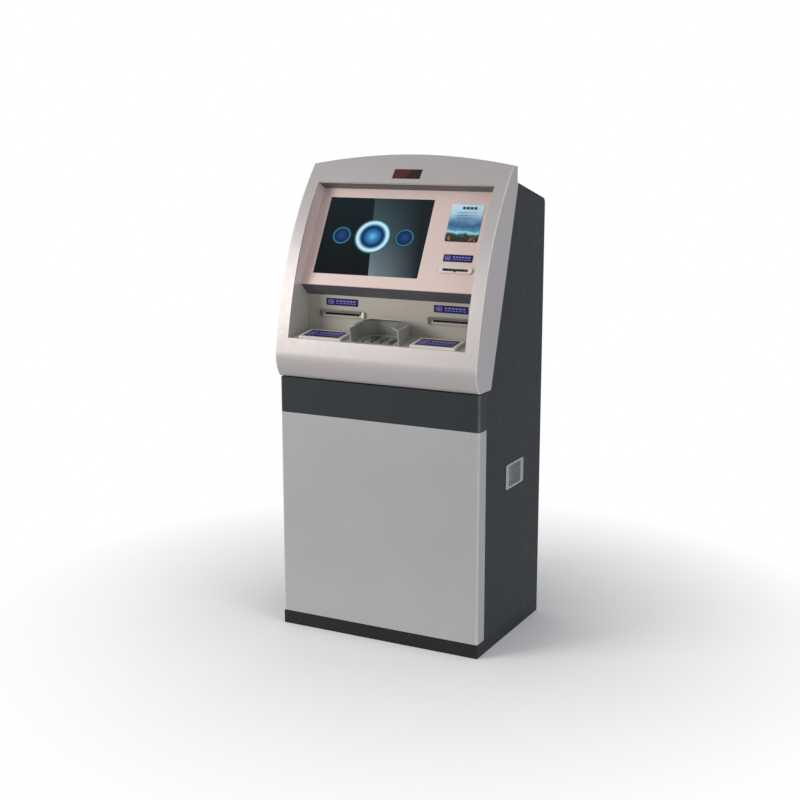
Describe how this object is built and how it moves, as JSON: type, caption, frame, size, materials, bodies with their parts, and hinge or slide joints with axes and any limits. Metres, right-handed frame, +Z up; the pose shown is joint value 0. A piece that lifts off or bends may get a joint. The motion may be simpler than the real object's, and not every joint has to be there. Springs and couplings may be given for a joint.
{
  "type": "atm machine",
  "caption": "Free-standing bank kiosk with a leaning touch screen, a shelf niche with a shielded PIN pad, slots, a lift-up fascia and a lower door.",
  "frame": {"origin": "middle of the overall bounding box at floor level", "axes": "+X to the user's right, +Y from the front towards the back, +Z up"},
  "size_m": [0.7046, 0.522, 1.53],
  "materials": {
    "charcoal_paint": "fine textured satin powder coat, charcoal",
    "band_paint": "satin powder coat, dark grey",
    "base_paint": "satin powder coat, near black",
    "door_paint": "satin silver-grey powder coat",
    "zinc_steel": "zinc plated steel",
    "satin_metal": "satin die-cast metal",
    "bronze": "sintered bronze",
    "safe_paint": "hammer grey paint on plate steel",
    "dark_plastic": "black moulded plastic",
    "module_grey": "grey module covers",
    "cassette_blue": "blue-grey moulded plastic",
    "fascia_plastic": "warm silver metallic paint on moulding",
    "panel_plastic": "satin beige-silver paint",
    "niche_plastic": "satin greenish grey paint",
    "screen_glass": "gloss black glass",
    "window_glass": "dark red smoked window",
    "card_print": "printed card under film",
    "navy_film": "navy printed film",
    "bezel_plastic": "pale satin moulding",
    "slot_plastic": "grey moulding",
    "shield_metal": "grey metallic paint",
    "pin_pad_metal": "brushed stainless plate",
    "key_metal": "brushed stainless keys",
    "strut_paint": "black painted tube",
    "paper": "thermal paper"
  },
  "bodies": {
    "cabinet": {"plinth": "base_paint", "floor_pan": "zinc_steel", "side_panel_left": "charcoal_paint", "side_panel_right": "charcoal_paint", "rear_frame": "charcoal_paint", "roof_panel": "charcoal_paint", "front_frame": "base_paint", "band_panel": "band_paint", "mid_shelf": "zinc_steel", "side_handles": "satin_metal", "levelling_feet": "dark_plastic", "power_inlet": "dark_plastic", "safe_box": "safe_paint", "cash_dispenser": "module_grey", "cash_cassettes": "cassette_blue", "computer": "dark_plastic", "power_supply": "module_grey", "pivot_bushes": "bronze", "hinge_leaves": "zinc_steel", "cabinet_screws": "zinc_steel"},
    "lower_door": {"front_door": "door_paint", "door_pins": "zinc_steel"},
    "bolt_bar": {"door_bolts": "zinc_steel"},
    "service_door": {"rear_door": "charcoal_paint", "rear_door_pins": "zinc_steel", "fan_housing": "dark_plastic"},
    "cam_lock": {"lock_plug": "zinc_steel"},
    "fan_wheel": {"fan_rotor": "dark_plastic"},
    "fascia": {"fascia_shell": "fascia_plastic", "recess_liner": "niche_plastic", "screen_panel": "panel_plastic", "monitor": "dark_plastic", "touch_glass": "screen_glass", "info_card": "card_print", "label_plates": "navy_film", "receipt_bezel": "bezel_plastic", "slot_bezels": "slot_plastic", "reader_pads": "satin_metal", "pin_shield": "shield_metal", "pin_pad": "pin_pad_metal", "sensor_window": "window_glass", "receipt_printer": "dark_plastic", "document_unit": "dark_plastic", "hinge_knuckles": "zinc_steel"},
    "receipt_roll": {"paper_roll": "paper"},
    "strut_tubes": {"strut_cylinders": "strut_paint"},
    "strut_shafts": {"strut_rods": "zinc_steel"},
    "key_1_body": {"key_1": "key_metal"},
    "key_2_body": {"key_2": "key_metal"},
    "key_3_body": {"key_3": "key_metal"},
    "key_4_body": {"key_4": "key_metal"},
    "key_5_body": {"key_5": "key_metal"},
    "key_6_body": {"key_6": "key_metal"},
    "key_7_body": {"key_7": "key_metal"},
    "key_8_body": {"key_8": "key_metal"},
    "key_9_body": {"key_9": "key_metal"},
    "key_10_body": {"key_10": "key_metal"},
    "key_11_body": {"key_11": "key_metal"},
    "key_12_body": {"key_12": "key_metal"}
  },
  "joints": [
    {"name": "fascia_lift", "type": "hinge", "parent": "cabinet", "child": "fascia", "pos_m": [0, 0.036, 1.461], "axis": [-1, 0, 0], "range_deg": [0, 45]},
    {"name": "strut_swing", "type": "hinge", "parent": "cabinet", "child": "strut_tubes", "pos_m": [0, 0.1172, 1.3519], "axis": [-1, 0, 0], "range_deg": [0, 25]},
    {"name": "strut_slide", "type": "slide", "parent": "strut_tubes", "child": "strut_shafts", "axis": [0, -0.9949, -0.1011], "range_m": [0, 0.08]},
    {"name": "door_swing", "type": "hinge", "parent": "cabinet", "child": "lower_door", "pos_m": [-0.342, -0.19, 0.38], "axis": [0, 0, -1], "range_deg": [0, 90]},
    {"name": "bolt_slide", "type": "slide", "parent": "lower_door", "child": "bolt_bar", "axis": [1, 0, 0], "range_m": [0, 0.012]},
    {"name": "rear_door_swing", "type": "hinge", "parent": "cabinet", "child": "service_door", "pos_m": [-0.29, 0.253, 0.738], "axis": [0, 0, 1], "range_deg": [0, 100]},
    {"name": "lock_turn", "type": "hinge", "parent": "service_door", "child": "cam_lock", "pos_m": [0.276, 0.245, 0.78], "axis": [0, 1, 0], "range_deg": [0, 90]},
    {"name": "fan_spin", "type": "hinge", "parent": "service_door", "child": "fan_wheel", "pos_m": [0, 0.247, 1.23], "axis": [0, 1, 0], "continuous": true},
    {"name": "roll_spin", "type": "hinge", "parent": "fascia", "child": "receipt_roll", "pos_m": [0.22, -0.09207, 1.1349], "axis": [1, 0, 0], "continuous": true},
    {"name": "key_1_press", "type": "slide", "parent": "fascia", "child": "key_1_body", "axis": [0, 0.1312, -0.9913], "range_m": [0, 0.002], "stiffness_N_per_m": 400, "springref_m": -0.0005},
    {"name": "key_2_press", "type": "slide", "parent": "fascia", "child": "key_2_body", "axis": [0, 0.1312, -0.9913], "range_m": [0, 0.002], "stiffness_N_per_m": 400, "springref_m": -0.0005},
    {"name": "key_3_press", "type": "slide", "parent": "fascia", "child": "key_3_body", "axis": [0, 0.1312, -0.9913], "range_m": [0, 0.002], "stiffness_N_per_m": 400, "springref_m": -0.0005},
    {"name": "key_4_press", "type": "slide", "parent": "fascia", "child": "key_4_body", "axis": [0, 0.1312, -0.9913], "range_m": [0, 0.002], "stiffness_N_per_m": 400, "springref_m": -0.0005},
    {"name": "key_5_press", "type": "slide", "parent": "fascia", "child": "key_5_body", "axis": [0, 0.1312, -0.9913], "range_m": [0, 0.002], "stiffness_N_per_m": 400, "springref_m": -0.0005},
    {"name": "key_6_press", "type": "slide", "parent": "fascia", "child": "key_6_body", "axis": [0, 0.1312, -0.9913], "range_m": [0, 0.002], "stiffness_N_per_m": 400, "springref_m": -0.0005},
    {"name": "key_7_press", "type": "slide", "parent": "fascia", "child": "key_7_body", "axis": [0, 0.1312, -0.9913], "range_m": [0, 0.002], "stiffness_N_per_m": 400, "springref_m": -0.0005},
    {"name": "key_8_press", "type": "slide", "parent": "fascia", "child": "key_8_body", "axis": [0, 0.1312, -0.9913], "range_m": [0, 0.002], "stiffness_N_per_m": 400, "springref_m": -0.0005},
    {"name": "key_9_press", "type": "slide", "parent": "fascia", "child": "key_9_body", "axis": [0, 0.1312, -0.9913], "range_m": [0, 0.002], "stiffness_N_per_m": 400, "springref_m": -0.0005},
    {"name": "key_10_press", "type": "slide", "parent": "fascia", "child": "key_10_body", "axis": [0, 0.1312, -0.9913], "range_m": [0, 0.002], "stiffness_N_per_m": 400, "springref_m": -0.0005},
    {"name": "key_11_press", "type": "slide", "parent": "fascia", "child": "key_11_body", "axis": [0, 0.1312, -0.9913], "range_m": [0, 0.002], "stiffness_N_per_m": 400, "springref_m": -0.0005},
    {"name": "key_12_press", "type": "slide", "parent": "fascia", "child": "key_12_body", "axis": [0, 0.1312, -0.9913], "range_m": [0, 0.002], "stiffness_N_per_m": 400, "springref_m": -0.0005}
  ],
  "couplings": [
    {"joint": "strut_swing", "follows": "fascia_lift", "ratio": 0.527},
    {"joint": "strut_slide", "follows": "fascia_lift", "m_per_rad": 0.0992}
  ]
}
